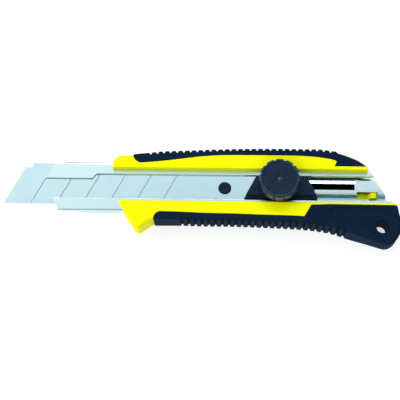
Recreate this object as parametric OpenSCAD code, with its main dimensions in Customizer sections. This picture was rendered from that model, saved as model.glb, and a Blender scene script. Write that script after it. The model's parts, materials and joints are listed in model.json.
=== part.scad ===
// Screw-lock snap-off cutter with a wide segmented blade.
// Frame: blade points to -X, locking knob faces +Z, the back lies on z = 0,
// and the origin is under the centre of the whole outline. Millimetres.

/* [Blade] */
// Width of the segmented blade
blade_w = 22; // [21.8:0.1:22]
// Thickness of the blade
blade_t = 0.65; // [0.5:0.05:0.65]
// Distance from one score line to the next
snap_pitch = 13.55; // [13:0.05:14]
// Slant of the score lines against the cutting edge
snap_angle = 62; // [60:1:64]
// Depth of each score line
score_depth = 0.12; // [0.08:0.02:0.16]

/* [Body] */
// Thickness of the handle
body_h = 14; // [13.6:0.1:14]
// Thickness of the web under the blade holder
web_t = 3.7; // [3.4:0.1:3.7]
// Depth to which the soft grips lap over the frame's faces
lap_t = 1.2; // [0.8:0.1:1.6]

/* [Grips] */
// Distance from one grip rib to the next
rib_pitch = 3.49; // [3.3:0.01:3.6]
// Depth of the notch between two ribs
rib_depth = 1.3; // [0.8:0.1:1.6]
// Radius of the hanging hole
hang_r = 3.1; // [2.5:0.1:3.4]

/* [Blade holder] */
// Sheet thickness of the folded holder
sheet_t = 0.8; // [0.6:0.1:0.8]
// Width of the slot that guides the lock bolt
slot_w = 3.4; // [3.4:0.1:3.6]

/* [Lock] */
// Outer radius of the knob
knob_r = 10.6; // [9.5:0.05:11]
// Number of lobes around the knob
knob_lobes = 12; // [8:1:16]
// Radial running clearance of the lock bolt
fit = 0.08; // [0.04:0.01:0.1]

/* [Hidden] */
$fn = 64;
far = 130;
// Blade place
tip_x = -103.35;
edge_y = -4.7;
spine_y = edge_y + blade_w;
blade_z = 8.92;
blade_len = 123.7;
tail_x = tip_x + blade_len;
first_score_x = -89.15;
score_count = 6;
bevel_w = 2.6;
edge_t = 0.1;
peg_x = 12.2;
peg_y = 4.66;
peg_r = 3.35;
// Folded holder
holder_lo = -8.4;
holder_hi = 18.2;
floor_z = 3.9;
lip_z = 10.4;
lip_lo = -1.5;
lip_hi = 11.25;
lip_nose = 8.7;
nose_end = -55;
nose_flat = -74;
nose_z = 7.95;
axis_y = 6.55;
land_z = 8.1;
land_half = 4;
land_flare = 0.8;
land_front = -50;
slot_front = -26;
slot_rear = 80.15;
window = [[81.15, 0.7], [92.15, 3.9]];
// Frame
rail_lo = -3.6;
rail_hi = 14.2;
gap = 0.05;
rivet_xy = [[-36, -4.2], [-36, 14.4], [50, -4.2], [50, 14.4]];
rivet_r = 1.45;
rivet_head_r = 2.75;
rivet_head_z = 0.4;
rivet_head_t = 1;
rivet_tail_r = 2.25;
// Tail of the handle
hang = [93.25, -16.3];
hang_flare = 1.3;
sleeve_r = 6;
// Knob and clamp
knob_x = 40.25;
knob_z = 14.35;
knob_h = 8.15;
skirt_h = 2.6;
knob_rim = 1.7;
knob_sink = 0.5;
knob_bore_r = 3.5;
cap_hole_r = 1.4;
cap_t = 0.5;
insert_r = 4;
insert_top = 19.1;
bolt_r = 2.5;
bolt_root = 6.1;
bolt_top = 20.9;
bolt_head_r = 2.9;
bolt_head_z = 5.05;
bolt_groove_r = 1.9;
ring_z = 20.2;
ring_t = 0.4;
clamp_top = 7.25;
clamp_t = 1.13;
// Slider and blade carrier
deck_z = 13;
deck_under = 8.3;
bed_z = 5;
groove_half = land_half + land_flare + 0.3;
carrier_z = 8.17;
carrier_t = 0.7;
carrier_rivet_xy = [[31.4, 3.4], [33.6, 8]];
carrier_rivet_r = 1;
carrier_head_r = 1.75;
carrier_head_z = 11.8;
peg_top = 9.75;
// Wear strip under the guide slot
strip_t = 0.7;
strip_x = [-28, 89.5];
strip_y = [4.3, 12.6];
// Stop latch
latch_y = 2.3;
latch_w = 2.8;
latch_x = [78, 91.7];

// x of a line parallel to the scores that starts at x0 on the cutting edge
function slant_x(x0, y) = x0 + (y - edge_y) / tan(snap_angle);

// Points of an arc from angle a0 to a1
function arc(c, r, a0, a1, n = 8) =
    [for (i = [0:n]) c + r * [cos(a0 + (a1 - a0) * i / n), sin(a0 + (a1 - a0) * i / n)]];

function reverse(p) = [for (i = [len(p) - 1:-1:0]) p[i]];

module prism(points, z0, z1) {
    translate([0, 0, z0]) linear_extrude(z1 - z0) polygon(points);
}

// Profile in (y, z), run along x
module run_x(profile, x0, x1) {
    translate([x0, 0, 0]) rotate([90, 0, 90]) linear_extrude(x1 - x0) polygon(profile);
}

// Profile in (x, z), run along y
module run_y(profile, y0, y1) {
    translate([0, y1, 0]) rotate([90, 0, 0]) linear_extrude(y1 - y0) polygon(profile);
}

module disc(x, y, r, z0, z1) {
    translate([x, y, z0]) cylinder(r = r, h = z1 - z0);
}

module ring(x, y, ro, ri, z0, z1) {
    difference() {
        disc(x, y, ro, z0, z1);
        disc(x, y, ri, z0 - 1, z1 + 1);
    }
}

// ---- outlines of the handle -------------------------------------------------

// Outer line of the upper grip, at the tips of its ribs
grip_top = [[-36, 21.6], [-28.5, 22.4], [-22, 23.2], [-8.7, 23.9], [5.2, 24.6],
            [15.8, 25.1], [29.5, 25.4], [51.5, 25.5], [63.5, 25.2], [70.4, 24.2]];
// Outer line of the lower grip, at the tips of its ribs
grip_low = [[-24.8, -13.7], [-10.6, -13.6], [-0.5, -13.8], [20.5, -13.9], [31, -14.2],
            [46.7, -14.8], [57.2, -15.5], [67.6, -17], [76.4, -19.8], [83, -21.9]];
// Line where the hard frame ends and the upper grip begins
upper_seam = [[-5, 19.9], [-1, 20.5], [9.5, 21.3], [20, 21.5], [51.4, 21.45], [61.8, 20.7],
              [67, 19.9]];
// Line where the hard frame ends and the lower grip begins
lower_seam = [[53.2, -11.2], [45.8, -10.9], [30.4, -10.6], [20.2, -10.3], [-0.5, -10],
              [-10.8, -9.6], [-20.6, -9.4]];

function notch_up(x) = [[x - 0.75, lookup(x - 0.75, grip_top)],
                        [x - 0.2, lookup(x, grip_top) - rib_depth],
                        [x + 0.2, lookup(x, grip_top) - rib_depth],
                        [x + 0.75, lookup(x + 0.75, grip_top)]];
function notch_down(x) = [[x - 0.75, lookup(x - 0.75, grip_low)],
                          [x - 0.2, lookup(x, grip_low) + rib_depth],
                          [x + 0.2, lookup(x, grip_low) + rib_depth],
                          [x + 0.75, lookup(x + 0.75, grip_low)]];

upper_ribs = [for (i = [0:27], p = notch_up(-26.9 + i * rib_pitch)) p];
lower_ribs = [for (i = [0:24], p = notch_down(-9.8 + i * rib_pitch)) p];

upper_plan = concat(
    [[-36.2, 21]], [grip_top[0]], [[-28.5, 22.4]], upper_ribs,
    [[70.4, 24.2], [77.5, 22], [82.8, 19.8], [85.3, 17.8], [85.9, 15.9], [69.2, 15.9],
     [70.5, 18.6], [69.7, 19.1]],
    reverse(upper_seam),
    [[-8.9, 19.4], [-22.2, 17.7]], arc([-31.4, 21.5], 4.7, -85, -172));

lower_plan = concat(
    [[-24.6, -13]], [grip_low[0]], lower_ribs,
    [[77.8, -20.6], [83, -22], [93, -25.1], [95.4, -25.5], [98.3, -24.6], [101, -21.7],
     [102.6, -18.6], [103.35, -15.4], [102.7, -11.5], [101.4, -5.8], [100.9, -4.9],
     [98.8, -4.8], [66.4, -4.6], [56.9, -5]],
    lower_seam,
    arc([-20.6, -13.4], 4, 92, 172, 6));

core_plan = concat(
    // front of the upper rail
    [[-46.7, rail_hi]], arc([-41.5, 15.7], 5.2, 176, 100, 6), [[-36.2, 21]],
    // wall under the upper grip
    [[-34.5, 19.8], [-8, 19.8]], upper_seam,
    [[69, 19.6], [80.2, 19.4], [83, 18.3], [85.6, 15.9], [86.75, 15.8], [86.75, rail_hi],
     [88.2, rail_hi], [97.6, -1.6], [100, rail_lo]],
    // stiff core inside the tail
    [[100.9, -4.9], [100.4, -16], [98.4, -20.4], [94.6, -22.4], [84, -18.9], [70, -14.8],
     [58, -12.8], [56, -11.3]],
    lower_seam,
    [[-22.4, -9.9]], arc([-20.6, -13.4], 4, 145, 172, 3), [[-24.6, -13]],
    // finger guard
    [[-25.9, -13.8], [-31.6, -18.1]], arc([-33, -16.6], 1.7, -60, -150, 5),
    [[-41.2, -7.3], [-42.2, -5.6], [-43.3, -1.7]]);

module laps(z_low, z_high) {
    prism(upper_plan, z_low, z_high);
    prism(lower_plan, z_low, z_high);
}

module hard_core() {
    difference() {
        prism(core_plan, 0, body_h);
        laps(-1, lap_t);
        laps(body_h - lap_t, body_h + 1);
        disc(hang[0], hang[1], sleeve_r, -1, body_h + 1);
    }
}

// ---- handle -----------------------------------------------------------------

module main_frame() {
    color("yellow") difference() {
        hard_core();
        // room for the folded holder
        prism([[-far, holder_lo - gap], [far, holder_lo - gap], [far, 15.4], [86, 15.4],
               [82, holder_hi + gap], [-far, holder_hi + gap]], web_t, lip_z + gap);
        // opening between the two rails
        prism([[-far, rail_lo], [far, rail_lo], [far, rail_hi], [-far, rail_hi]],
              lip_z, body_h + 1);
        // pocket in which the stop latch bends
        prism([[latch_x[0] - 1, latch_y - latch_w / 2 - 0.4], [93, latch_y - latch_w / 2 - 0.4],
               [93, latch_y + latch_w / 2 + 0.4], [latch_x[0] - 1, latch_y + latch_w / 2 + 0.4]],
              0.5, web_t + 1);
        // groove of the wear strip
        strip_plan(gap, strip_t + 1);
        for (p = rivet_xy) {
            disc(p[0], p[1], rivet_r + gap, -1, web_t + 1);
            disc(p[0], p[1], rivet_head_r + 0.25, -1, rivet_head_z + rivet_head_t);
        }
    }
}

// Block on the floor of the web's groove, grown sideways by g
module strip_plan(g, h) {
    translate([strip_x[0] - g, strip_y[0] - g, web_t - strip_t])
        cube([strip_x[1] - strip_x[0] + 2 * g, strip_y[1] - strip_y[0] + 2 * g, h]);
}

// Strip let into the web below the slot, where the bolt head passes
module wear_strip() {
    color([0.08, 0.1, 0.12]) strip_plan(0, strip_t);
}

module upper_grip() {
    color([0.09, 0.11, 0.16]) difference() {
        prism(upper_plan, 0, body_h);
        hard_core();
    }
}

module lower_grip() {
    color([0.09, 0.11, 0.16]) difference() {
        prism(lower_plan, 0, body_h);
        hard_core();
        disc(hang[0], hang[1], hang_r, -1, body_h + 1);
        for (end = [[-0.01, 1], [body_h + 0.01, -1]])
            translate([hang[0], hang[1], end[0]]) rotate([end[1] > 0 ? 0 : 180, 0, 0])
                cylinder(r1 = hang_r + hang_flare, r2 = hang_r, h = hang_flare + 0.01);
        // plain recessed panel
        prism([[66, -7.3], [69.5, -6], [92.6, -6.3], [88.9, -10.5], [86.5, -16.2], [74, -13.6],
               [66.3, -11.6]], body_h - 0.4, body_h + 1);
    }
}

// ---- blade holder -----------------------------------------------------------

function fold(t) = [
    [holder_hi, floor_z], [holder_hi, lip_z], [lip_hi, lip_z], [lip_hi, lip_z - t],
    [holder_hi - t, lip_z - t], [holder_hi - t, floor_z + t],
    [axis_y + land_half + land_flare, floor_z + t], [axis_y + land_half, land_z],
    [axis_y - land_half, land_z], [axis_y - land_half - land_flare, floor_z + t],
    [holder_lo + t, floor_z + t], [holder_lo + t, lip_z - t], [lip_lo, lip_z - t],
    [lip_lo, lip_z], [holder_lo, lip_z], [holder_lo, floor_z],
    [axis_y - land_half - land_flare + 0.6, floor_z],
    [axis_y - land_half + 0.6, land_z - t], [axis_y + land_half - 0.6, land_z - t],
    [axis_y + land_half + land_flare - 0.6, floor_z]];

holder_plan = concat(
    [[-77.4, holder_hi], [-81.6, lip_nose], [-77.8, lip_lo], [-77.4, -2.6], [-74.8, -7.5]],
    [[-73.8, holder_lo], [99.6, holder_lo], [99.6, -3.2]],
    [[88.6, 13.6], [86.4, 15.1], [81.8, holder_hi]]);

module nose() {
    t = sheet_t;
    // floor rising to the blade
    run_y([[-82, nose_z], [nose_flat, nose_z], [nose_end, floor_z], [land_front, floor_z],
           [land_front, floor_z + t], [nose_end, floor_z + t], [nose_flat, nose_z + t],
           [-82, nose_z + t]], holder_lo, holder_hi);
    for (y = [holder_lo, holder_hi - t])
        run_y([[-82, nose_z], [nose_flat, nose_z], [nose_end, floor_z], [land_front, floor_z],
               [land_front, lip_z], [-82, lip_z]], y, y + t);
    // lips
    prism([[-82, lip_nose], [-57.6, lip_nose], [-56.6, 9.1], [-55.8, 10.7], [-54.8, lip_hi],
           [land_front, lip_hi], [land_front, holder_hi], [-82, holder_hi]], lip_z - t, lip_z);
    prism([[-82, lip_lo], [-82, holder_lo], [land_front, holder_lo], [land_front, lip_lo]],
          lip_z - t, lip_z);
    // closed front end of the raised land
    run_x([[axis_y - land_half - land_flare, floor_z], [axis_y + land_half + land_flare, floor_z],
           [axis_y + land_half, land_z], [axis_y - land_half, land_z]],
          land_front - t, land_front);
}

module blade_holder() {
    color([0.8, 0.88, 0.9]) difference() {
        intersection() {
            prism(holder_plan, 0, body_h);
            union() {
                nose();
                run_x(fold(sheet_t), land_front, 110);
            }
        }
        // guide slot
        translate([slot_front, axis_y - slot_w / 2, floor_z])
            cube([slot_rear - slot_front, slot_w, 8]);
        // window of the stop latch
        translate([window[0][0], window[0][1], 0])
            cube([window[1][0] - window[0][0], window[1][1] - window[0][1], land_z + 1]);
        // relief notch beside the upper lip
        translate([82.4, 10.1, 0]) cube([5.9, 1.9, lip_z - 1.2]);
        for (p = rivet_xy)
            disc(p[0], p[1], rivet_tail_r + gap, 0, floor_z + sheet_t + 1);
    }
}

module holder_rivets() {
    color("silver") for (p = rivet_xy) {
        disc(p[0], p[1], rivet_head_r, rivet_head_z, rivet_head_z + rivet_head_t);
        disc(p[0], p[1], rivet_r, rivet_head_z + rivet_head_t, floor_z);
        disc(p[0], p[1], rivet_tail_r, floor_z, floor_z + sheet_t);
    }
}

module stop_latch() {
    color("gold") {
        run_y([[latch_x[0], 2.4], [latch_x[1], 2.4], [latch_x[1], 6.6], [91, 7.3], [88.6, 7.3],
               [87.2, 3.6], [86.4, 3.6], [84.6, 4.6], [81.6, 4.6], [81, 3.6], [latch_x[0], 3.6]],
              latch_y - latch_w / 2, latch_y + latch_w / 2);
        // rounded root on which the arm bends
        translate([latch_x[0], latch_y - latch_w / 2, 3]) rotate([-90, 0, 0])
            cylinder(r = 0.6, h = latch_w);
    }
}

// ---- blade ------------------------------------------------------------------

module blade() {
    color([0.82, 0.93, 0.96]) difference() {
        prism([[tip_x, edge_y], [tail_x, edge_y], [slant_x(tail_x, spine_y), spine_y],
               [tip_x + 15, spine_y], [tip_x + 13.7, spine_y - 2.2],
               [slant_x(tip_x, spine_y - 2.2), spine_y - 2.2]], blade_z, blade_z + blade_t);
        // ground bevels on both faces
        for (side = [0, 1]) {
            face = blade_z + side * blade_t;
            ground = face - (side * 2 - 1) * (blade_t - edge_t) / 2;
            run_x([[edge_y - 1, ground], [edge_y, ground], [edge_y + bevel_w, face],
                   [edge_y - 1, face]], -far, far);
        }
        // score lines
        for (i = [0:score_count - 1], z = [blade_z, blade_z + blade_t])
            translate([first_score_x + i * snap_pitch, edge_y, z]) rotate([0, 0, snap_angle])
                rotate([45, 0, 0]) translate([-2, -score_depth * 0.7, -score_depth * 0.7])
                    cube([blade_w / sin(snap_angle) + 4, score_depth * 1.4, score_depth * 1.4]);
        disc(peg_x, peg_y, peg_r + fit, 0, body_h);
    }
}

// ---- slider -----------------------------------------------------------------

carrier_plan = concat(
    arc([peg_x, peg_y], 4.6, 90, 270, 10),
    [[34, 1.2], [36.4, 3.4], [36.4, 9.2], [peg_x, 9.26]]);

module slider() {
    front = tail_x + 0.1;
    color([0.08, 0.09, 0.12]) difference() {
        union() {
            // deck between the lips
            prism([[slant_x(front, -1.15), -1.15], [slant_x(front, 10.9), 10.9], [53, 10.9],
                   [54.9, 9.6], [58.4, 4.8], [58.9, 2.6], [58.9, 0.3], [24.4, 0.3]],
                  deck_under, deck_z);
            prism([[slant_x(front, -1.15), -1.15], [24.4, 0.4], [59.3, 0.4], [59.3, 2.4],
                   [60.65, -1.15]], deck_under, deck_z - 1.5);
            // bed that runs inside the holder
            prism([[slant_x(front, -7.2), -7.2], [slant_x(front, 17), 17], [45.8, 17], [50, 14],
                   [50, -7.2]], bed_z, lip_z - sheet_t - 0.3);
        }
        // room for the raised land
        translate([0, axis_y - groove_half, 0]) cube([far, 2 * groove_half, deck_under]);
        prism(carrier_plan, 8, carrier_z + carrier_t + 0.02);
        for (p = carrier_rivet_xy) {
            disc(p[0], p[1], carrier_rivet_r, 8, deck_z + 1);
            disc(p[0], p[1], carrier_head_r + gap, carrier_head_z, deck_z + 1);
        }
        disc(knob_x, axis_y, bolt_r + fit, 0, deck_z + 1);
    }
}

module blade_carrier() {
    color("lightsteelblue") difference() {
        prism(carrier_plan, carrier_z, carrier_z + carrier_t);
        disc(peg_x, peg_y, 1.6, 0, body_h);
        for (p = carrier_rivet_xy)
            disc(p[0], p[1], carrier_rivet_r, 0, body_h);
    }
}

module blade_peg() {
    color([0.1, 0.14, 0.2]) {
        disc(peg_x, peg_y, 1.6, carrier_z, carrier_z + carrier_t);
        disc(peg_x, peg_y, peg_r, carrier_z + carrier_t, peg_top);
        translate([peg_x, peg_y, peg_top]) cylinder(r1 = peg_r, r2 = peg_r - 0.25, h = 0.2);
    }
}

module carrier_rivets() {
    color("silver") for (p = carrier_rivet_xy) {
        disc(p[0], p[1], carrier_rivet_r, carrier_z, carrier_head_z);
        disc(p[0], p[1], carrier_head_r, carrier_head_z, deck_z - 0.3);
    }
}

// ---- lock -------------------------------------------------------------------

module flat_washer() {
    color("silver") ring(knob_x, axis_y, 5.6, bolt_r + 0.2, deck_z, deck_z + 0.5);
}

module spring_washer() {
    color("dimgray") translate([knob_x, axis_y, deck_z + 0.5]) rotate_extrude()
        polygon([[4.7, 0], [5.2, 0], [5.2, 0.3], [3.3, 0.8], [2.8, 0.8], [2.8, 0.5]]);
}

module lock_knob() {
    top = knob_z + knob_h;
    color([0.1, 0.12, 0.2]) difference() {
        union() {
            disc(knob_x, axis_y, knob_r - 0.45, knob_z, knob_z + skirt_h);
            disc(knob_x, axis_y, knob_r, knob_z + skirt_h, top);
        }
        // notches between the lobes
        for (i = [0:knob_lobes - 1])
            translate([knob_x, axis_y, knob_z + skirt_h]) rotate([0, 0, (i + 0.5) * 360 / knob_lobes])
                translate([knob_r + 0.2, 0, 0]) rotate([0, 0, 45])
                    translate([-0.8, -0.8, 0]) cube([1.6, 1.6, knob_h]);
        // sunk face inside the rim
        disc(knob_x, axis_y, knob_r - knob_rim, top - knob_sink, top + 1);
        disc(knob_x, axis_y, knob_bore_r, insert_top, top + 1);
        disc(knob_x, axis_y, insert_r, knob_z - 1, insert_top);
    }
}

module knob_insert() {
    color("gold") ring(knob_x, axis_y, insert_r, bolt_r + fit, knob_z, insert_top);
}

// Cap pressed over the end of the bolt, with a small centre hole
module knob_cap() {
    top = knob_z + knob_h - knob_sink;
    color([0.1, 0.12, 0.2]) ring(knob_x, axis_y, knob_bore_r - gap, cap_hole_r, top - cap_t, top);
}

module lock_bolt() {
    color("gray") {
        difference() {
            disc(knob_x, axis_y, bolt_r, bolt_root, bolt_top);
            // flats that keep it from turning in the slot
            for (side = [-1, 1])
                translate([knob_x - 4, axis_y + side * 3.6 - 2, bolt_root]) cube([8, 4, 3.2]);
            ring(knob_x, axis_y, 4, bolt_groove_r, ring_z, ring_z + ring_t);
        }
        disc(knob_x, axis_y, bolt_head_r, bolt_head_z, bolt_root);
        translate([knob_x, axis_y, bolt_top]) cylinder(r1 = bolt_r, r2 = 0.8, h = 0.55);
    }
}

module clamp_plate() {
    color("silver") difference() {
        translate([knob_x - 6, axis_y - 2.7, clamp_top - clamp_t]) cube([12, 5.4, clamp_t]);
        translate([knob_x - 2.55, axis_y - 1.65, 0]) cube([5.1, 3.3, 20]);
    }
}

module retaining_ring() {
    color("dimgray") ring(knob_x, axis_y, 3.1, bolt_groove_r, ring_z, ring_z + ring_t);
}

main_frame();
upper_grip();
lower_grip();
blade_holder();
holder_rivets();
stop_latch();
blade();
slider();
blade_carrier();
blade_peg();
carrier_rivets();
flat_washer();
spring_washer();
lock_knob();
knob_insert();
knob_cap();
lock_bolt();
clamp_plate();
retaining_ring();
wear_strip();
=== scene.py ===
"""Looks of the screw-lock snap-off cutter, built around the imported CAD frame.

Outlines are in millimetres in the frame of the part: the blade towards -X, the knob towards +Z
and the flat back of the handle on z = 0. new_mesh turns them into metres.
"""
import json
import math

import bmesh
import bpy
import numpy as np
from mathutils import Matrix, Vector
from mathutils.geometry import delaunay_2d_cdt


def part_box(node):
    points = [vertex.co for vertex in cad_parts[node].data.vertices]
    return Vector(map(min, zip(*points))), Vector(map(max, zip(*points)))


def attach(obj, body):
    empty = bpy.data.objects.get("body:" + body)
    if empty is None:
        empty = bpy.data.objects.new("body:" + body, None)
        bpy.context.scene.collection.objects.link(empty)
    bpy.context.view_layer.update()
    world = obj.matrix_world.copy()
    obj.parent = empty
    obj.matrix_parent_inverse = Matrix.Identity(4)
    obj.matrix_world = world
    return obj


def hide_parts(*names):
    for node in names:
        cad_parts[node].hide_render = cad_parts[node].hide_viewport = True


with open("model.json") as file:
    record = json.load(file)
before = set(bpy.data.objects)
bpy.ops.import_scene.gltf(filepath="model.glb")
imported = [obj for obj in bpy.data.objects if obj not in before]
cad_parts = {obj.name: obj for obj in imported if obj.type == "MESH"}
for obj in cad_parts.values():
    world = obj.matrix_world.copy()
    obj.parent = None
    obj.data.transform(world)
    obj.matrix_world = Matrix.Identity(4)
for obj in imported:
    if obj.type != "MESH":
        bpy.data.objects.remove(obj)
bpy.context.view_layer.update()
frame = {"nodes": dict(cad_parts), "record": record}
MM = 0.001


def box_mm(node):
    """Lowest and highest corner of a CAD node in millimetres."""
    low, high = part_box(node)
    return np.array(low) / MM, np.array(high) / MM


# ---- places taken from the frame -------------------------------------------------------------

BODY_H = box_mm("main_frame")[1][2]
HOLDER_LOW, HOLDER_HIGH = box_mm("blade_holder")
BLADE_LOW, BLADE_HIGH = box_mm("blade")
KNOB_LOW, KNOB_HIGH = box_mm("lock_knob")
KNOB_CENTRE = (KNOB_LOW[:2] + KNOB_HIGH[:2]) / 2
KNOB_R = (KNOB_HIGH[0] - KNOB_LOW[0]) / 2
CAP_LOW, CAP_HIGH = box_mm("knob_cap")
CAP_R = (CAP_HIGH[0] - CAP_LOW[0]) / 2
INSERT_LOW, INSERT_HIGH = box_mm("knob_insert")
KNOB_BORE = (INSERT_HIGH[0] - INSERT_LOW[0]) / 2
SLIDER_LOW, SLIDER_HIGH = box_mm("slider")
PEG_LOW, PEG_HIGH = box_mm("blade_peg")
PEG_CENTRE = (PEG_LOW[:2] + PEG_HIGH[:2]) / 2
PEG_R = (PEG_HIGH[0] - PEG_LOW[0]) / 2
HANG = next(m for m in frame["record"]["mounts"] if m["name"] == "hang_hole")
HANG_XY = np.array(HANG["pos_m"][:2]) / MM
HANG_R = HANG["dims"]["r_mm"]
RIVET_LOW, RIVET_HIGH = box_mm("holder_rivets")
RIVET_HEAD_R = 2.75


# ---- sizes that several pieces share ---------------------------------------------------------

SNAP_ANGLE = math.radians(62)
SNAP_PITCH = 13.55
RIB_PITCH, RIB_DEPTH, RIB_HALF = 3.49, 1.3, 0.95
LAP = 1.2  # how far the grips' lips reach over the yellow frame, front and back
GAP = 0.05  # play between pieces that touch
LAND_RING = 0.12  # width of the flat ring that closes a rounded rim
RAIL_LOW, RAIL_HIGH = -3.6, 14.2
LAND_HALF, LAND_FLARE = 4.0, 0.8  # half width of the slotted land, and of each of its slopes
LAND_LEAN = 1.2  # how much wider the land is on the upper side along the slot
SLOT_START, SLOT_END, SLOT_WIDE = -26.0, 80.15, 3.4
SLEEVE_R = 6  # rubber sleeve round the hanging hole
GRIP_RIM = 0.4  # rim radius of the grips along the yellow frame
PAST = 130  # further out than either end of the knife, for cutters
NEAR_AXIS = 0.01  # radius that stands for the axis in a turned profile


# ---- curves ----------------------------------------------------------------------------------

def spline(points, step):
    """Points along a smooth curve through the given ones."""
    p = np.array(points, float)
    gaps = np.maximum(np.linalg.norm(np.diff(p, axis=0), axis=1), 1e-6)
    t = np.concatenate([[0], np.cumsum(gaps)])
    slope = np.gradient(p, t, axis=0)
    out = []
    for i, gap in enumerate(gaps):
        count = max(2, math.ceil(gap / step))
        for u in np.arange(count) / count:
            a = 2 * u**3 - 3 * u**2 + 1
            b = u**3 - 2 * u**2 + u
            c = -2 * u**3 + 3 * u**2
            d = u**3 - u**2
            out.append(a * p[i] + b * gap * slope[i] + c * p[i + 1] + d * gap * slope[i + 1])
    out.append(p[-1])
    return np.array(out)


def fillet(points, steps=5):
    """An open line of (x, y, radius) corners as points, each corner rounded by its radius."""
    out = [np.array(points[0][:2], float)]
    for before, here, after in zip(points, points[1:], points[2:]):
        a, b, c = (np.array(q[:2], float) for q in (before, here, after))
        radius = here[2] if len(here) > 2 else 0
        u, v = a - b, c - b
        lu, lv = np.linalg.norm(u), np.linalg.norm(v)
        u, v = u / max(lu, 1e-9), v / max(lv, 1e-9)
        half = math.acos(max(-1, min(1, float(u @ v)))) / 2
        if radius <= 0:
            out.append(b)
            continue
        reach = min(max(radius / math.tan(half), 0.05), 0.49 * lu, 0.49 * lv)
        start, end = b + u * reach, b + v * reach
        for i in range(steps + 1):
            s = i / steps
            out.append((1 - s) ** 2 * start + 2 * s * (1 - s) * b + s**2 * end)
    out.append(np.array(points[-1][:2], float))
    return np.array(out)


def arc(centre, radius, start, end, steps):
    """Points on a circle between two angles in degrees."""
    angles = np.radians(np.linspace(start, end, steps + 1))
    return np.array(centre) + radius * np.stack([np.cos(angles), np.sin(angles)], 1)


def dense(points, step):
    """A line with its long stretches split."""
    out = []
    for a, b in zip(points, points[1:]):
        count = max(1, math.ceil(np.linalg.norm(b - a) / step))
        out += [a + (b - a) * i / count for i in range(count)]
    out.append(points[-1])
    return np.array(out)


def closed(*runs):
    """One closed outline from runs, with doubled points left out."""
    points = np.concatenate([np.array(r, float)[:, :2] for r in runs])
    keep = np.linalg.norm(points - np.roll(points, 1, axis=0), axis=1) > 1e-4
    return points[keep]


def inward(points):
    """Unit inward normals of a counter-clockwise outline."""
    t = np.roll(points, -1, axis=0) - np.roll(points, 1, axis=0)
    t /= np.maximum(np.linalg.norm(t, axis=1), 1e-9)[:, None]
    return np.stack([-t[:, 1], t[:, 0]], 1)


def smooth_step(x, a, b):
    """Eased rise from 0 at a to 1 at b."""
    u = np.clip((np.asarray(x, float) - a) / (b - a), 0, 1)
    return u * u * (3 - 2 * u)


# ---- meshes ----------------------------------------------------------------------------------

def cap(ring):
    """Triangles over a flat ring, by constrained Delaunay triangulation."""
    axes = np.sort(np.argsort(np.ptp(ring, axis=0))[-2:])
    flat = [Vector(p) for p in ring[:, axes]]
    _, _, triangles, origin, _, _ = delaunay_2d_cdt(flat, [], [list(range(len(ring)))], 1, 1e-5)
    made = [[origin[v][0] if origin[v] else -1 for v in t] for t in triangles]
    if any(-1 in t for t in made):
        raise ValueError("a ring crosses itself")
    return made


def lofted(rings, loop=False):
    """Vertices and faces of closed rings with equal numbers of points, joined in order."""
    count = len(rings[0])
    verts = np.concatenate(rings)
    faces = []
    spans = len(rings) if loop else len(rings) - 1
    for k in range(spans):
        a, b = k * count, ((k + 1) % len(rings)) * count
        for i in range(count):
            j = (i + 1) % count
            faces.append((a + i, a + j, b + j, b + i))
    if not loop:
        faces += cap(rings[0])
        faces += [[(len(rings) - 1) * count + i for i in t] for t in cap(rings[-1])]
    return verts, faces


def at_height(points, z):
    """Plan points lifted to the height z, which may vary from point to point."""
    z = np.broadcast_to(np.asarray(z, float), (len(points),))
    return np.column_stack([points, z])


def cross(a, b):
    """Cross products of rows of plan vectors."""
    return a[:, 0] * b[:, 1] - a[:, 1] * b[:, 0]


def folded(points, outline):
    """Marks the points where an inset line turns back on itself or two nearby sides cross."""
    reach = 10  # sides this far apart along the line are compared
    side = np.roll(points, -1, axis=0) - points
    plain = np.roll(outline, -1, axis=0) - outline
    back = (side * plain).sum(1) < 0.1 * (plain**2).sum(1)
    marked = back | np.roll(back, 1)
    for k in range(2, reach):
        gap, other = np.roll(points, -k, axis=0) - points, np.roll(side, -k, axis=0)
        turn = cross(side, other)
        sizes = np.linalg.norm(side, axis=1) * np.linalg.norm(other, axis=1)
        flat = np.abs(turn) < 1e-6 * sizes + 1e-15
        turn = np.where(flat, 1, turn)
        t, u = cross(gap, other) / turn, cross(gap, side) / turn
        hit = ~flat & (np.abs(t - 0.5) < 0.52) & (np.abs(u - 0.5) < 0.52)
        for j in range(k + 2):
            marked |= np.roll(hit, j)
    return marked


def inset(outline, depth):
    """The outline moved inwards, by less wherever it would fold over itself."""
    normal, depth = inward(outline), np.array(depth, float)
    for _ in range(60):
        moved = outline + normal * depth[:, None]
        marked = folded(moved, outline)
        if not marked.any():
            break
        depth[marked] *= 0.8
    return moved


def slab(outline, z0, z1, top, bottom, notch=0.0, steps=6):
    """A plate with rounded rims. top, bottom and notch may vary from point to point."""
    shape = (len(outline),)
    top, bottom, notch = (np.broadcast_to(np.asarray(v, float), shape) for v in (top, bottom, notch))
    rings = []

    def ring(depth, z):
        rings.append(at_height(inset(outline, np.maximum(depth, notch)), z))

    rings.append(at_height(inset(outline, np.maximum(bottom, notch) + LAND_RING), z0))
    for i in range(steps, -1, -1):
        a = i / steps * math.pi / 2
        ring(bottom * (1 - math.cos(a)), z0 + bottom * (1 - math.sin(a)))
    for i in range(steps + 1):
        a = i / steps * math.pi / 2
        ring(top * (1 - math.cos(a)), z1 - top * (1 - math.sin(a)))
    rings.append(at_height(inset(outline, np.maximum(top, notch) + LAND_RING), z1))
    return lofted(rings)


def prism(outline, z0, z1):
    """A plain upright plate."""
    outline = np.array(outline, float)
    return lofted([at_height(outline, z0), at_height(outline, z1)])


def rectangle(x0, y0, x1, y1):
    """Corners of a rectangle, counter-clockwise."""
    return [(x0, y0), (x1, y0), (x1, y1), (x0, y1)]


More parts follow.
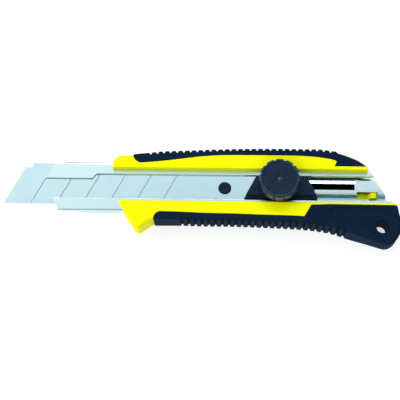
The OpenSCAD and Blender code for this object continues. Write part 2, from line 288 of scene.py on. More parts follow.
def run_x(profile, x0, x1):
    """A (y, z) profile run along x."""
    p = np.array(profile, float)
    rings = [np.column_stack([np.full(len(p), x), p]) for x in (x0, x1)]
    return lofted(rings)


def cylinder(centre, radius, z0, z1):
    """An upright round rod."""
    n = 64
    return prism(arc(centre, radius, 0, 360 * (n - 1) / n, n - 1), z0, z1)


def turned(centre, profile, n=96):
    """A closed (radius, z) profile turned about a vertical axis."""
    angles = np.arange(n) * 2 * math.pi / n
    rings = []
    for a in angles:
        rings.append(np.array([(centre[0] + r * math.cos(a), centre[1] + r * math.sin(a), z)
                               for r, z in profile]))
    return lofted(rings, loop=True)


def new_mesh(name, *parts):
    """A mesh object in metres from (vertices, faces) parts, with its faces turned outwards."""
    bm = bmesh.new()
    for verts, faces in parts:
        made = [bm.verts.new(v * MM) for v in np.array(verts, float)]
        for f in faces:
            bm.faces.new([made[i] for i in f])
    bmesh.ops.remove_doubles(bm, verts=bm.verts, dist=2e-7)
    bmesh.ops.recalc_face_normals(bm, faces=bm.faces)
    mesh = bpy.data.meshes.new(name)
    bm.to_mesh(mesh)
    bm.free()
    obj = bpy.data.objects.new(name, mesh)
    bpy.context.scene.collection.objects.link(obj)
    return obj


def apply_modifiers(obj):
    """Bakes the object's modifiers into its mesh."""
    dg = bpy.context.evaluated_depsgraph_get()
    mesh = bpy.data.meshes.new_from_object(obj.evaluated_get(dg))
    obj.modifiers.clear()
    old = obj.data
    obj.data = mesh
    bpy.data.meshes.remove(old)


def boolean(obj, operation, tool):
    """Boolean of obj with a tool object, which is then thrown away."""
    mod = obj.modifiers.new("cut", "BOOLEAN")
    mod.operation = operation
    mod.solver = "MANIFOLD"
    mod.object = tool
    apply_modifiers(obj)
    bpy.data.objects.remove(tool, do_unlink=True)


def combine(obj, operation, *parts):
    """Boolean of obj with each closed part in turn."""
    for part in parts:
        boolean(obj, operation, new_mesh("tool", part))


def cut(obj, *parts):
    """Takes each closed part away from obj."""
    combine(obj, "DIFFERENCE", *parts)


def soften(obj, width):
    """Small rounding of the edges sharper than 40 degrees."""
    mod = obj.modifiers.new("edge", "BEVEL")
    mod.width = width * MM
    mod.segments = 2
    mod.limit_method = "ANGLE"
    mod.angle_limit = math.radians(40)
    mod.miter_outer = "MITER_ARC"


def shade(obj, angle):
    """Smooth shading that keeps edges sharper than the angle."""
    mesh = obj.data
    if "custom_normal" in mesh.attributes:
        mesh.attributes.remove(mesh.attributes["custom_normal"])
    bm = bmesh.new()
    bm.from_mesh(mesh)
    bmesh.ops.triangulate(bm, faces=[f for f in bm.faces if len(f.verts) > 4])
    bmesh.ops.dissolve_degenerate(bm, edges=bm.edges, dist=1e-7)
    for f in bm.faces:
        f.smooth = True
    for e in bm.edges:
        e.smooth = len(e.link_faces) == 2 and e.calc_face_angle(0) < math.radians(angle)
    bm.to_mesh(mesh)
    bm.free()
    mod = obj.modifiers.new("normals", "WEIGHTED_NORMAL")
    mod.keep_sharp = True
    mod.weight = 100


def finish_piece(obj, body, material, node, angle=32):
    """Shades a piece, gives it its material and puts it in the place of a CAD node."""
    shade(obj, angle)
    obj.data.materials.clear()
    obj.data.materials.append(material)
    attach(obj, body)
    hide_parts(node)


# ---- materials -------------------------------------------------------------------------------

# How far a grain is squeezed along each axis: a small number draws it out into lines
EVEN, ALONG_X, ALONG_Y = (1, 1, 1), (0.03, 1, 1), (1, 0.03, 1)


def node_material(name, color, metallic, roughness, specular=0.5):
    """A new material, its node tree and its shader."""
    mat = bpy.data.materials.new(name)
    mat.use_nodes = True
    bsdf = mat.node_tree.nodes["Principled BSDF"]
    bsdf.inputs["Base Color"].default_value = (*color, 1)
    bsdf.inputs["Metallic"].default_value = metallic
    bsdf.inputs["Roughness"].default_value = roughness
    bsdf.inputs["Specular IOR Level"].default_value = specular
    return mat, mat.node_tree, bsdf


def add(tree, kind, **inputs):
    """A new node with values on its inputs."""
    node = tree.nodes.new(kind)
    for key, value in inputs.items():
        node.inputs[key].default_value = value
    return node


def noise(tree, stretch, scale, detail, rough=0.5):
    """Noise in object space, where stretch squeezes each axis. Scale is cycles per metre."""
    coords = tree.nodes.new("ShaderNodeTexCoord")
    mapping = tree.nodes.new("ShaderNodeMapping")
    mapping.inputs["Scale"].default_value = stretch
    tex = add(tree, "ShaderNodeTexNoise", Scale=scale, Detail=detail, Roughness=rough)
    tree.links.new(coords.outputs["Object"], mapping.inputs["Vector"])
    tree.links.new(mapping.outputs["Vector"], tex.inputs["Vector"])
    return tex.outputs["Fac"]


def remap(tree, value, low, high):
    """A value between 0 and 1 taken to between low and high."""
    node = tree.nodes.new("ShaderNodeMapRange")
    node.inputs["To Min"].default_value = low
    node.inputs["To Max"].default_value = high
    tree.links.new(value, node.inputs["Value"])
    return node.outputs["Result"]


def blend_colors(tree, factor, dark, light):
    """A colour between dark and light."""
    mix = tree.nodes.new("ShaderNodeMix")
    mix.data_type = "RGBA"
    mix.inputs["A"].default_value = (*dark, 1)
    mix.inputs["B"].default_value = (*light, 1)
    tree.links.new(factor, mix.inputs["Factor"])
    return mix.outputs["Result"]


def bump(tree, bsdf, height, strength, distance):
    """Relief on the shader's normal. The distance is in metres."""
    node = add(tree, "ShaderNodeBump", Strength=strength, Distance=distance)
    tree.links.new(height, node.inputs["Height"])
    tree.links.new(node.outputs["Normal"], bsdf.inputs["Normal"])


def moulded(name, dark, light, rough, grain, strength, specular, tint=(1, 1, 1)):
    """Moulded plastic or rubber: slight colour drift, fine spark-eroded grain."""
    tone_scale, spread, relief = 60, 0.08, 0.00006
    mat, tree, bsdf = node_material(name, light, 0.0, rough, specular)
    bsdf.inputs["Specular Tint"].default_value = (*tint, 1)
    drift = noise(tree, EVEN, tone_scale, 4)
    tree.links.new(blend_colors(tree, drift, dark, light), bsdf.inputs["Base Color"])
    fine = noise(tree, EVEN, grain, 2)
    tree.links.new(remap(tree, fine, rough - spread, rough + spread), bsdf.inputs["Roughness"])
    bump(tree, bsdf, fine, strength, relief)
    return mat


def metal(name, dark, light, rough, stretch, grain, strength):
    """Metal with directional brushing and a slow change of tone."""
    tone_scale, spread, relief = 35, 0.03, 0.00003
    mat, tree, bsdf = node_material(name, light, 1.0, rough)
    drift = noise(tree, EVEN, tone_scale, 3)
    tree.links.new(blend_colors(tree, drift, dark, light), bsdf.inputs["Base Color"])
    lines = noise(tree, stretch, grain, 3, 0.6)
    tree.links.new(remap(tree, lines, rough - spread, rough + spread), bsdf.inputs["Roughness"])
    bump(tree, bsdf, lines, strength, relief)
    return mat


NAVY_SHEEN = (0.5, 0.78, 1.0)
YELLOW = moulded("yellow_plastic", (0.82, 0.83, 0.001), (0.86, 0.87, 0.002),
                 rough=0.40, grain=2600, strength=0.10, specular=0.03)
RUBBER = moulded("black_elastomer", (0.004, 0.011, 0.028), (0.006, 0.017, 0.043),
                 rough=0.60, grain=2300, strength=0.30, specular=0.02, tint=NAVY_SHEEN)
BLACK = moulded("black_plastic", (0.003, 0.008, 0.024), (0.006, 0.014, 0.040),
                rough=0.34, grain=3000, strength=0.15, specular=0.16, tint=NAVY_SHEEN)
KNURLED = moulded("knob_plastic", (0.006, 0.014, 0.034), (0.010, 0.022, 0.050),
                  rough=0.28, grain=3000, strength=0.10, specular=0.45, tint=NAVY_SHEEN)
SHEET = metal("steel_sheet", (0.60, 0.78, 0.81), (0.66, 0.84, 0.87),
              rough=0.25, stretch=ALONG_X, grain=1800, strength=0.01)
BLADE = metal("blade_steel", (0.52, 0.71, 0.77), (0.56, 0.76, 0.82),
              rough=0.26, stretch=ALONG_Y, grain=2200, strength=0.004)
ZINC = metal("fastener_steel", (0.20, 0.21, 0.22), (0.28, 0.29, 0.30),
             rough=0.35, stretch=EVEN, grain=1500, strength=0.2)
# Steel painted near-black: painted shade, so that the bolt's end reads as the shade inside the knob's
# centre hole
BOLT_STEEL_PAINTED_SHADE = metal("bolt_steel_painted_shade", (0.05, 0.06, 0.08), (0.09, 0.10, 0.13),
                  rough=0.30, stretch=EVEN, grain=1500, strength=0.2)
BRASS = metal("brass_insert", (0.60, 0.42, 0.16), (0.75, 0.55, 0.25),
              rough=0.3, stretch=EVEN, grain=1500, strength=0.2)


# ---- camera and studio -----------------------------------------------------------------------

def camera():
    """View from a little below the middle of the handle, almost straight down."""
    eye = Vector((9.35, -152.2, 510)) * MM
    target = Vector((-0.65, -2.2, 10.4)) * MM
    roll = math.radians(1.0)
    back = (eye - target).normalized()
    right = Vector((0, 1, 0)).cross(back).normalized()
    up = back.cross(right)
    tilted_right = right * math.cos(roll) + up * math.sin(roll)
    tilted_up = up * math.cos(roll) - right * math.sin(roll)
    cam = bpy.data.objects.new("camera", bpy.data.cameras.new("camera"))
    cam.matrix_world = Matrix((
        (tilted_right.x, tilted_up.x, back.x, eye.x),
        (tilted_right.y, tilted_up.y, back.y, eye.y),
        (tilted_right.z, tilted_up.z, back.z, eye.z),
        (0, 0, 0, 1)))
    cam.data.sensor_width = 36
    cam.data.lens = 90.2
    cam.data.clip_start = 0.01
    bpy.context.scene.collection.objects.link(cam)
    bpy.context.scene.camera = cam


def area_light(name, place, size, power, mirrored=True):
    """A rectangular lamp in metres and watts, aimed at the origin."""
    data = bpy.data.lights.new(name, "AREA")
    data.shape = "RECTANGLE"
    data.size, data.size_y = size
    data.energy = power
    light = bpy.data.objects.new(name, data)
    light.location = place
    light.rotation_mode = "QUATERNION"
    light.rotation_quaternion = (-Vector(place)).to_track_quat("-Z", "Y")
    light.visible_glossy = mirrored
    bpy.context.scene.collection.objects.link(light)


def sky_gradient(tree):
    """White to the left, greyer overhead and dark to the right and at the horizon."""
    coords = tree.nodes.new("ShaderNodeTexCoord")
    height = tree.nodes.new("ShaderNodeVectorMath")
    height.operation = "DOT_PRODUCT"
    height.inputs[1].default_value = (-0.8, 0.0, 0.6)
    ramp = tree.nodes.new("ShaderNodeValToRGB")
    low, high = ramp.color_ramp.elements
    low.position, low.color = 0.0, (0.10, 0.12, 0.14, 1)
    high.position, high.color = 0.80, (1.0, 1.0, 1.0, 1)
    between = {0.30: (0.26, 0.29, 0.32), 0.46: (0.42, 0.46, 0.47),
               0.59: (0.55, 0.59, 0.60), 0.66: (0.74, 0.76, 0.76)}
    for position, color in between.items():
        ramp.color_ramp.elements.new(position).color = (*color, 1)
    background = tree.nodes["Background"]
    tree.links.new(coords.outputs["Generated"], height.inputs[0])
    tree.links.new(height.outputs["Value"], ramp.inputs["Fac"])
    tree.links.new(ramp.outputs["Color"], background.inputs["Color"])
    background.inputs["Strength"].default_value = 1.25


def studio():
    """Pale sky, one long key light from behind and two soft lights that don't mirror."""
    scene = bpy.context.scene
    scene.view_settings.view_transform = "Standard"
    world = bpy.data.worlds.new("studio")
    world.use_nodes = True
    sky_gradient(world.node_tree)
    scene.world = world
    area_light("key", (0.10, 0.51, 0.70), (0.9, 0.20), 3.0)
    area_light("left", (-0.8, 0.1, 0.5), (0.4, 0.6), 2.0, mirrored=False)
    area_light("front_fill", (0.0, -0.8, 0.6), (0.8, 0.3), 3.2, mirrored=False)


def pale_floor():
    """A large white floor just under the back of the handle."""
    half, below = 3, -0.0002
    mesh = bpy.data.meshes.new("floor")
    corners = [(x, y, below) for x, y in rectangle(-half, -half, half, half)]
    mesh.from_pydata(corners, [], [(0, 1, 2, 3)])
    floor = bpy.data.objects.new("floor", mesh)
    mat, _, bsdf = node_material("floor_white", (0.4, 0.4, 0.4), 0.0, 0.8, 0.05)
    bsdf.inputs["Emission Color"].default_value = (1, 1, 1, 1)
    bsdf.inputs["Emission Strength"].default_value = 0.68
    mesh.materials.append(mat)
    bpy.context.scene.collection.objects.link(floor)


# ---- outlines of the handle ------------------------------------------------------------------

# Line where the yellow frame meets the upper grip, from the front to the rear
UPPER_SEAM = [(-31, 16.87), (-22.2, 17.7), (-8.9, 19.4), (-1, 20.5), (9.5, 21.3), (20, 21.5),
              (35, 21.55), (51.4, 21.45), (61.8, 20.7), (67, 19.9), (69.7, 19.1)]
# The same for the lower grip, up to the corner before the tail
LOWER_SEAM = [(-20.6, -9.4), (-10.8, -9.6), (-0.5, -10), (20.2, -10.3), (30.4, -10.6),
              (45.8, -10.9), (53.2, -11.2)]
# Outer lines at the tips of the ribs
UPPER_EDGE = [(70.4, 24.2), (63.5, 25.15), (51.5, 25.43), (29.5, 25.35), (15.8, 25.05), (5.2, 24.6),
              (-8.7, 23.9), (-22, 23.2), (-28.5, 22.4), (-35.4, 21.7)]
LOWER_EDGE = [(-24.2, -13.7), (-10.6, -13.6), (-0.5, -13.8), (20.5, -13.9), (31, -14.2),
              (46.7, -14.8), (57.2, -15.5), (67.6, -17.1), (76.4, -19.8), (83, -21.9),
              (93, -25.1)]


def upper_grip_outline():
    """Plan of the upper grip, counter-clockwise from its front end along the seam."""
    front = arc((-31.4, 21.5), 4.65, 188, 265, 12)
    seam = spline(UPPER_SEAM, 0.8)
    beak = fillet([(69.7, 19.1), (70.5, 18.6, 0.3), (69.2, 15.9, 0.3), (85.2, 15.9)])
    fin = fillet([(85.2, 15.9), (85.9, 16.15, 0.3), (81.1, 19.6, 6), (75.9, 21.7, 6), (70.9, 23.4, 0.4),
                  (70.4, 24.2)])
    edge = dense(spline(UPPER_EDGE, 0.4), 0.14)
    return closed(front, seam, beak, fin, edge)


def lower_grip_outline():
    """Plan of the lower grip, counter-clockwise along the ribs, round the tail and back."""
    edge = dense(spline(LOWER_EDGE, 0.4), 0.14)
    tail = spline([(93, -25.1), (95.4, -25.5), (98.3, -24.6), (101, -21.7), (102.6, -18.6),
                   (103.33, -15.4), (102.8, -11.5), (101.5, -6)], 0.4)
    top = fillet([(101.5, -6), (100.9, -4.9, 0.8), (98.8, -4.75), (66.4, -4.6, 2), (56.9, -5, 1),
                  (53.2, -11.2)])
    seam = spline(LOWER_SEAM[::-1], 0.8)
    front = arc((-20.6, -13.4), 4, 92, 175, 10)
    return closed(edge, tail, top, seam, front)


def rib_notches(outline, outer, first_x, count):
    """Depth of the notches between the ribs, at each point of the outline's outer side."""
    depth = np.zeros(len(outline))
    for i in range(count):
        away = np.abs(outline[:, 0] - (first_x + i * RIB_PITCH))
        shape = np.clip(1 - away / RIB_HALF, 0, 1)
        groove = RIB_DEPTH * np.sin(shape * math.pi / 2) ** 1.3
        depth = np.maximum(depth, np.where(outer, groove, 0))
    return depth


# ---- handle pieces ---------------------------------------------------------------------------

def core_outline():
    """Plan of the yellow frame, its parts under the grips included."""
    front = fillet([(-46.7, RAIL_HIGH), (-43.4, -1.7, 3), (-41.6, -6.6, 3), (-33.22, -19.5, 2.6),
                    (-25.9, -13.9, 1.5), (-24.6, -13)], 8)
    front = dense(front, 0.6)
    tuck = [(-23.8, -11), (-22.6, -10)]
    low = spline(LOWER_SEAM, 0.8)
    tail = fillet([(53.2, -11.2), (56, -12.3, 1), (58, -12.8, 1), (70, -14.8, 4), (84, -18.9, 3),
                   (94.6, -22.4, 3), (98.4, -20.4, 2), (100.4, -16, 2), (100.9, -4.9, 0.4),
                   (100, RAIL_LOW, 0.4), (97.6, -1.6, 0.4), (88.2, RAIL_HIGH, 0.3),
                   (86.75, RAIL_HIGH, 0.3), (86.75, 15.8, 0.5), (84.9, 15.9, 0.3), (82.4, 17.7, 1),
                   (79.4, 19.1, 2), (69, 19.6, 1), (67, 19.9)])
    high = spline([p for p in UPPER_SEAM[::-1] if -5 < p[0] <= 67], 0.8)
    wall = [(-8, 19.8), (-34.5, 19.8), (-36.2, 21)]
    rail_end = arc((-41.5, 15.7), 5.2, 100, 176, 14)
    return closed(front, tuck, low, tail, high, wall, rail_end)


def frame_rims(outline):
    """Rim radius along the frame: wide on the guard and the rail's end, none under the grips."""
    x, y = outline.T
    guard = 1.4 * smooth_step(-y, 1, 6) * (1 - smooth_step(x, -26.5, -24.8))
    rail_end = 1.2 * (1 - smooth_step(x, -40, -36.5)) * smooth_step(y, 9, 13)
    front = 0.7 * (1 - smooth_step(x, -40, -36))
    rear = 0.5 * smooth_step(x, 85.2, 86) * smooth_step(y, -5, -3)
    least = np.full(len(x), 0.05)
    return np.maximum.reduce([guard, rail_end, front, rear, least])


def rail_cutter():
    """Opening between the rails, flared so that the rails' inner edges come out rounded."""
    r = 0.5
    low = arc((RAIL_LOW - r, BODY_H - r), r, 0, 90, 6)
    high = arc((RAIL_HIGH + r, BODY_H - r), r, 90, 180, 6)
    under = HOLDER_HIGH[2]
    profile = np.concatenate([[(RAIL_LOW, under - 1)], low, [(RAIL_LOW - r, BODY_H + 2)],
                              [(RAIL_HIGH + r, BODY_H + 2)], high, [(RAIL_HIGH, under - 1)]])
    return run_x(profile, -PAST, PAST)


def rivet_places():
    """Plan centres of the holder's four rivets."""
    xs = RIVET_LOW[0] + RIVET_HEAD_R, RIVET_HIGH[0] - RIVET_HEAD_R
    ys = RIVET_LOW[1] + RIVET_HEAD_R, RIVET_HIGH[1] - RIVET_HEAD_R
    return [(x, y) for x in xs for y in ys]


def sleeve_hole():
    """Cutter for the rubber sleeve round the hanging hole."""
    return cylinder(HANG_XY, SLEEVE_R, -1, BODY_H + 1)


def yellow_frame():
    """Frame with its channel, rails and pocket for the latch, and room for the grips' lips."""
    outline = core_outline()
    rims = frame_rims(outline)
    obj = new_mesh("frame_shell", slab(outline, 0, BODY_H, rims, rims))
    web = HOLDER_LOW[2] - 0.2
    low, high = HOLDER_LOW[1] - GAP, HOLDER_HIGH[1] + GAP
    plan = [(-PAST, low), (PAST, low), (PAST, 15.4), (86, 15.4), (82, high), (-PAST, high)]
    channel = prism(plan, web, HOLDER_HIGH[2] + GAP)
    laps = []
    for plan in (upper_grip_outline(), lower_grip_outline()):
        grown = plan - inward(plan) * 0.02
        laps += [prism(grown, -1, LAP), prism(grown, BODY_H - LAP, BODY_H + 1)]
    latch_low, latch_high = box_mm("stop_latch")
    room, swing = 0.4, 1.3
    pocket = rectangle(latch_low[0] - room, latch_low[1] - room,
                       latch_high[0] + swing, latch_high[1] + room)
    cut(obj, channel, rail_cutter(), *laps, prism(pocket, 0.5, web + 1))
    shank_r, counterbore_r, counterbore_deep = 1.5, 3, 1.4
    for place in rivet_places():
        cut(obj, cylinder(place, shank_r, -1, web + 1),
            cylinder(place, counterbore_r, -1, counterbore_deep))
    cut(obj, sleeve_hole())
    finish_piece(obj, "handle", YELLOW, "main_frame")


def grip(name, outline, rims, notches):
    """A grip before its core is cut out, and the cutter for the core."""
    obj = new_mesh(name, slab(outline, 0, BODY_H, rims, rims, notches, steps=7))
    core = core_outline()
    grown = core - inward(core) * 0.01
    return obj, new_mesh("core", prism(grown, LAP, BODY_H - LAP))


def upper_grip():
    """Ribbed rubber round the frame's upper side, up to the fin at its rear."""
    outline = upper_grip_outline()
    x, y = outline.T
    outer = (y > 21.6) | (x > 76) & (y > 16.5)
    rims = np.where(outer, 0.75, GRIP_RIM)
    notches = rib_notches(outline, y > 21.8, first_x=-26.9, count=28)
    obj, core = grip("upper_grip_rubber", outline, rims, notches)
    boolean(obj, "DIFFERENCE", core)
    finish_piece(obj, "handle", RUBBER, "upper_grip")


def hang_flare(z, direction):
    """Cutter that leaves a rounded mouth on the hanging hole."""
    mouth = 1.3
    inside, outside = z - direction * mouth, z + direction * 2
    curve = arc((HANG_R + mouth, inside), mouth, 180, 180 - direction * 90, 6)
    profile = [(NEAR_AXIS, inside), *curve, (HANG_R + mouth, outside), (NEAR_AXIS, outside)]
    return turned(HANG_XY, profile, 64)


def lower_grip():
    """Ribbed rubber round the frame's lower side, with the tail, its panel and the hanging hole."""
    outline = lower_grip_outline()
    x, y = outline.T
    low_side = y < -13.0
    tail = smooth_step(x, 99, 101.2) * smooth_step(-y, 4.9, 8)
    rims = np.where(low_side, 0.6 + 1.6 * smooth_step(x, 76, 90), GRIP_RIM)
    rims = np.maximum(rims, 2.2 * tail)
    notches = rib_notches(outline, y < -13.2, first_x=-9.8, count=25)
    obj, core = grip("lower_grip_rubber", outline, rims, notches)
    cut(core, sleeve_hole())
    boolean(obj, "DIFFERENCE", core)
    panel_deep = 0.5
    panel = fillet([(80, -6.15), (91.9, -6.3), (92.6, -6.3, 0.8), (88.9, -10.5, 1.5),
                    (86.7, -16.2, 1), (74, -13.6, 1.5), (66.3, -11.7, 1), (66, -7.3, 1.2),
                    (69.5, -6, 1), (80, -6.15)])
    cut(obj, prism(closed(panel), BODY_H - panel_deep, BODY_H + 1),
        cylinder(HANG_XY, HANG_R, -1, BODY_H + 1), hang_flare(BODY_H, 1), hang_flare(0, -1))
    finish_piece(obj, "handle", RUBBER, "lower_grip")


# ---- blade holder ----------------------------------------------------------------------------

def holder_section(x):
    """Closed (y, z) section of the folded sheet at x, always with the same number of points.

    The upper half of the slotted land leans towards the rail on its top face only.
    """
    sheet = 0.8
    low, high = HOLDER_LOW[1] + sheet / 2, HOLDER_HIGH[1] - sheet / 2
    lip = HOLDER_HIGH[2] - sheet / 2
    rise = 1 - float(smooth_step(x, -74, -55))
    floor = HOLDER_LOW[2] + sheet / 2 + 4.05 * rise
    land = floor + 3.4 * float(smooth_step(x, -56, -48)) * (1 - rise)
    inner_high = 11.25 - 2.55 * (1 - float(smooth_step(x, -57.8, -54.8)))
    mid = KNOB_CENTRE[1]
    bend = min(1.0, (lip - floor) / 2 - 0.05)
    slotted = float(smooth_step(x, -30, -26) * (1 - smooth_step(x, SLOT_END, SLOT_END + 0.6)))
    land_low, land_high = mid - LAND_HALF, mid + LAND_HALF + LAND_LEAN * slotted
    foot_high = land_high + LAND_FLARE + 0.15 - 0.2 * slotted
    sides = []
    for tilt in (0, 0.6 * slotted):
        path = fillet([
            (inner_high + 0.5, lip), (high, lip, bend), (high, floor, bend),
            (foot_high, floor, 0.5), (land_high, land - tilt, 0.5),
            (mid + SLOT_WIDE / 2 - 0.2, land, 0.3), (land_low, land, 0.8),
            (land_low - LAND_FLARE, floor, 0.8),
            (low, floor, bend), (low, lip, bend), (-1.8, lip)], 5)
        t = np.gradient(path, axis=0)
        t /= np.maximum(np.linalg.norm(t, axis=1), 1e-9)[:, None]
        normal = np.stack([-t[:, 1], t[:, 0]], 1) * sheet / 2
        sides.append(path - normal if sides else path + normal)
    outside, inside = sides
    turn = np.radians(np.linspace(22.5, 157.5, 7))[:, None]
    last = path[-1] + t[-1] * np.sin(turn) * 0.3 - normal[-1] * np.cos(turn)
    under = lip - sheet / 2
    first = [(inner_high, under), (inner_high, under + 0.25), (inner_high + 0.25, under + 0.53)]
    return np.concatenate([outside, last[::-1], inside[::-1], first])


def blade_holder():
    """Sheet lofted through its sections, trimmed to its plan and pierced."""
    stations = np.concatenate([[-83, -78, -74.5], np.linspace(-74, -48, 40), [-31, -28, -25],
                               np.linspace(SLOT_END - 0.1, SLOT_END + 0.7, 5), [110]])
    rings = []
    for x in stations:
        section = holder_section(x)
        rings.append(np.column_stack([np.full(len(section), x), section]))
    obj = new_mesh("holder_sheet", lofted(rings))
    plan = fillet([(-20, HOLDER_LOW[1] - 1), (99.6, HOLDER_LOW[1] - 1), (99.6, -3.2, 0.5),
                   (88.6, 13.6, 1), (86.6, 15.2, 1), (81.4, HOLDER_HIGH[1] + 1),
                   (-76.9, HOLDER_HIGH[1] + 1), (-81.6, 8.7, 0.3), (-77.8, -1.5, 0.5),
                   (-77.4, -2.6, 0.5), (-74.9, -7.4, 1), (-73.4, HOLDER_LOW[1] - 1),
                   (-20, HOLDER_LOW[1] - 1)])
    combine(obj, "INTERSECT", prism(closed(plan), 0, BODY_H))
    mid = KNOB_CENTRE[1]
    slot = rectangle(SLOT_START, mid - SLOT_WIDE / 2, SLOT_END, mid + SLOT_WIDE / 2)
    latch_window = rectangle(81.15, 0.7, 92.15, 3.9)
    relief_notch = rectangle(82.4, 10.1, 88.3, 12.0)
    cut(obj, prism(slot, 3, 12), prism(latch_window, 2, 9.1), prism(relief_notch, 2, 9.2))
    rivet_hole_r = 2.3
    for place in rivet_places():
        cut(obj, cylinder(place, rivet_hole_r, 3, 5.2))
    finish_piece(obj, "handle", SHEET, "blade_holder")


# ---- blade -----------------------------------------------------------------------------------

def blade():
    """Plate with ground bevels and V-shaped score lines on both faces."""
    edge, spine = BLADE_LOW[1], BLADE_HIGH[1]
    z_low, z_high = BLADE_LOW[2], BLADE_HIGH[2]
    width, slope = spine - edge, 1 / math.tan(SNAP_ANGLE)
    tip = BLADE_LOW[0]
    tail = BLADE_HIGH[0] - width * slope
    half_line, line_depth, bevel, edge_half = 0.26, 0.16, 2.4, 0.05
    lines, first_line, thinnest = 6, -89.15, 0.03
    us, depths = [tip], [0.0]
    for i in range(lines):
        u = first_line + i * SNAP_PITCH
        us += [u - half_line, u, u + half_line]
        depths += [0.0, line_depth, 0.0]
    us.append(tail)
    depths.append(0.0)
    middle, half_thick = (z_low + z_high) / 2, (z_high - z_low) / 2
    columns = [(edge, edge_half), (edge + bevel, half_thick), (spine, half_thick)]
    top, bottom = [], []
    for u, depth in zip(us, depths):
        for y, half in columns:
            x = u + (y - edge) * slope
            deep = max(half - depth, thinnest)
            top.append((x, y, middle + deep))
            bottom.append((x, y, middle - deep))
    verts = np.array(top + bottom)
    n, cols = len(us), len(columns)
    faces = []
    for i in range(n - 1):
        for j in range(cols - 1):
            a, b = i * cols + j, (i + 1) * cols + j
            faces.append((a, b, b + 1, a + 1))
            faces.append(tuple(k + n * cols for k in (a, a + 1, b + 1, b)))
        for j in (0, cols - 1):
            a, b = i * cols + j, (i + 1) * cols + j
            faces.append((a, b, b + n * cols, a + n * cols))
    for i in (0, n - 1):
        for j in range(cols - 1):
            a = i * cols + j
            faces.append((a, a + 1, a + 1 + n * cols, a + n * cols))
    obj = new_mesh("scored_blade", (verts, faces))
    corner = [(tip - 5, spine - 2.2), (tip + 13.7, spine - 2.2), (tip + 15, spine + 1),
              (tip - 5, spine + 1)]
    cut(obj, prism(corner, 0, BODY_H), cylinder(PEG_CENTRE, PEG_R + 0.08, 0, BODY_H))
    finish_piece(obj, "carriage", BLADE, "blade", angle=4)


def peg():
    """Peg with a shallow dish in its head."""
    z0, z1 = PEG_LOW[2], PEG_HIGH[2]
    shank_r, shoulder, dish = 1.6, z0 + 0.7, z1 - 0.18
    profile = fillet([(NEAR_AXIS, z0), (shank_r, z0), (shank_r, shoulder), (PEG_R, shoulder),
                      (PEG_R, z1, 0.35), (1.4, z1, 0.2), (1.2, dish, 0.1), (NEAR_AXIS, dish)])
    obj = new_mesh("peg_head", turned(PEG_CENTRE, profile))
    finish_piece(obj, "carriage", BLACK, "blade_peg")


# ---- slider ----------------------------------------------------------------------------------

def slant_x(x0, y):
    """x at the height y of a slanted line that meets the blade's edge at x0."""
    return x0 + (y - BLADE_LOW[1]) / math.tan(SNAP_ANGLE)


def slider():
    """Block on a wider flange, with a bed under it that lies behind the blade."""
    tail = BLADE_HIGH[0] - (BLADE_HIGH[1] - BLADE_LOW[1]) / math.tan(SNAP_ANGLE) + 0.1
    under, deck = 8.3, SLIDER_HIGH[2]
    block = fillet([(30, 0.3), (58.9, 0.3, 0.3), (58.9, 2.6, 0.8), (58.4, 4.8, 0.8), (54.9, 9.6, 1.2),
                    (53, 10.9, 1), (slant_x(tail, 10.9), 10.9, 0.4), (slant_x(tail, 0.3), 0.3, 0.3),
                    (30, 0.3)])
    flange = fillet([(30, -1.15), (60.65, -1.15, 0.4), (59.3, 2.4, 0.6), (58, 2.6, 0.4),
                     (slant_x(tail, 2.6), 2.6, 0.3), (slant_x(tail, -1.15), -1.15, 0.3), (30, -1.15)])
    low, high = SLIDER_LOW[1], SLIDER_HIGH[1]
    mid = KNOB_CENTRE[1]
    clear = LAND_HALF + LAND_FLARE + 0.5
    play, shank_hole_r = 0.02, 2.58
    bed = [(slant_x(tail, low), low), (50, low), (50, 14), (45.8, high), (slant_x(tail, high), high)]
    obj = new_mesh("slider_block", slab(closed(block), under, deck, 0.55, 0.05, steps=4))
    combine(obj, "UNION", slab(closed(flange), under, deck - 1.5, 0.4, 0.05, steps=4),
            prism(bed, SLIDER_LOW[2], 9.3))
    groove = rectangle(mid - clear, 0, mid + clear + LAND_LEAN, under)
    carrier_low, carrier_high = box_mm("blade_carrier")
    pocket = rectangle(0, carrier_low[1] - play, carrier_high[0] + play, carrier_high[1] + play)
    cut(obj, run_x(groove, 0, PAST), prism(pocket, 8, carrier_high[2] + play),
        cylinder(KNOB_CENTRE, shank_hole_r, 0, 20))
    finish_piece(obj, "carriage", BLACK, "slider")


# ---- knob ------------------------------------------------------------------------------------

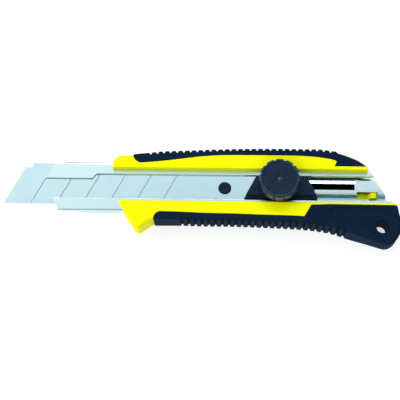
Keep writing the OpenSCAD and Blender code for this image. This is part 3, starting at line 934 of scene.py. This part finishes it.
def knob():
    """Lobed, fluted and knurled knob, and its cap, as rings whose radius varies round the axis."""
    lobes, flutes_per_lobe, count = 12, 5, 720
    angle = np.arange(count) * 2 * math.pi / count
    z0, z1 = KNOB_LOW[2], KNOB_HIGH[2]
    notch_half = 0.95
    lobe = np.abs(((angle * lobes / (2 * math.pi) + 0.5) % 1) - 0.5) * 2 * math.pi / lobes
    notch = np.clip(1 - (math.pi / lobes - lobe) * KNOB_R / notch_half, 0, 1) ** 0.9
    flute = 0.5 - 0.5 * np.cos(angle * lobes * flutes_per_lobe)
    rings = []

    def ring(radius, z, notch_depth=0.0, flute_depth=0.0, bumps=0.0):
        """One more ring, with its radius cut back at the notches and flutes."""
        r = radius - notch * notch_depth - flute * flute_depth * (1 - notch)
        x, y = KNOB_CENTRE[0] + r * np.cos(angle), KNOB_CENTRE[1] + r * np.sin(angle)
        rings.append(np.column_stack([x, y, z + bumps * np.ones(count)]))

    def diamonds(radius):
        """Height of the crosshatch round the axis at a radius."""
        x, y = radius * np.cos(angle), radius * np.sin(angle)
        pitch, height, slow, fast = 0.95, 0.5, 0.5, 0.866
        a = np.abs(((x * slow + y * fast) / pitch) % 1 - 0.5) * 2
        b = np.abs(((x * slow - y * fast) / pitch) % 1 - 0.5) * 2
        return height * np.minimum(a, b)

    # Fluted skirt
    ring(KNOB_BORE, z0)
    ring(KNOB_R - 1.2, z0)
    ring(KNOB_R - 0.6, z0 + 0.15, 0.0, 0.1)
    ring(KNOB_R - 0.45, z0 + 0.4, 0.0, 0.3)
    ring(KNOB_R - 0.45, z0 + 2.3, 0.2, 0.3)
    # Lobed wall and its rounded shoulder
    ring(KNOB_R - 0.3, z0 + 2.6, 0.6, 0.3)
    ring(KNOB_R, z0 + 2.8, 1.0, 0.25)
    ring(KNOB_R, z1 - 1.6, 1.1, 0.25)
    shoulder, shoulder_steps = 0.9, 6
    for i in range(1, shoulder_steps + 1):
        a = i / shoulder_steps * math.pi / 2
        fade = math.cos(a)
        radius, z = KNOB_R - shoulder * (1 - math.cos(a)), z1 - shoulder * (1 - math.sin(a))
        ring(radius, z, 0.9 * fade + 0.25, 0.2 * fade)
    # Rim, and the sunk knurled face with its bore
    rim_inner, face, knurl_step = KNOB_R - 1.65, z1 - 0.62, 0.13
    hole_r, seat = CAP_R + 0.02, CAP_LOW[2] - 1.5
    ring(rim_inner + 0.25, z1)
    ring(rim_inner + 0.05, z1 - 0.08)
    ring(rim_inner - 0.15, z1 - 0.5)
    for r in np.arange(rim_inner - 0.25, hole_r, -knurl_step):
        ring(r, face, bumps=diamonds(r))
    ring(hole_r, face, bumps=diamonds(CAP_R))
    ring(hole_r, seat)
    ring(KNOB_BORE, seat)
    obj = new_mesh("knob_body", lofted(rings, loop=True))
    finish_piece(obj, "knob", KNURLED, "lock_knob", angle=50)
    # The cap carries on the same face, down to the hole where the bolt's end shows
    rings.clear()
    bolt_hole = 1.4
    ring(bolt_hole, CAP_LOW[2])
    ring(CAP_R, CAP_LOW[2])
    for r in np.arange(CAP_R, bolt_hole + 0.5, -knurl_step):
        ring(r, face, bumps=diamonds(r))
    ring(bolt_hole + 0.4, z1 - 0.6)
    ring(bolt_hole + 0.1, z1 - 0.7)
    ring(bolt_hole, z1 - 0.85)
    obj = new_mesh("cap_face", lofted(rings, loop=True))
    finish_piece(obj, "knob", KNURLED, "knob_cap", angle=50)


# ---- pieces that keep their CAD mesh ---------------------------------------------------------

def dress(node, material, edge=0.0):
    """Gives a CAD node its material, and a small rounding where its edges show."""
    obj = frame["nodes"][node]
    obj.data.materials.clear()
    obj.data.materials.append(material)
    if edge:
        flat = obj.modifiers.new("flat", "DECIMATE")
        flat.decimate_type = "DISSOLVE"
        flat.angle_limit = math.radians(1)
        soften(obj, edge)


def small_pieces():
    """The latch, the fasteners and the other pieces whose CAD shape is already right."""
    dress("stop_latch", YELLOW, 0.25)
    dress("holder_rivets", ZINC)
    dress("carrier_rivets", ZINC)
    dress("blade_carrier", SHEET)
    dress("flat_washer", ZINC)
    dress("spring_washer", ZINC)
    dress("knob_insert", BRASS)
    # The bolt's end gets the near-black steel: painted shade in the knob's centre hole
    dress("lock_bolt", BOLT_STEEL_PAINTED_SHADE)
    dress("clamp_plate", ZINC, 0.15)
    dress("retaining_ring", ZINC)
    # The black strip under the holder's slot is a dark sheet standing in for the shade seen through the
    # slot: painted shade
    dress("wear_strip", BLACK)


camera()
studio()
pale_floor()
yellow_frame()
upper_grip()
lower_grip()
blade_holder()
blade()
peg()
slider()
knob()
small_pieces()
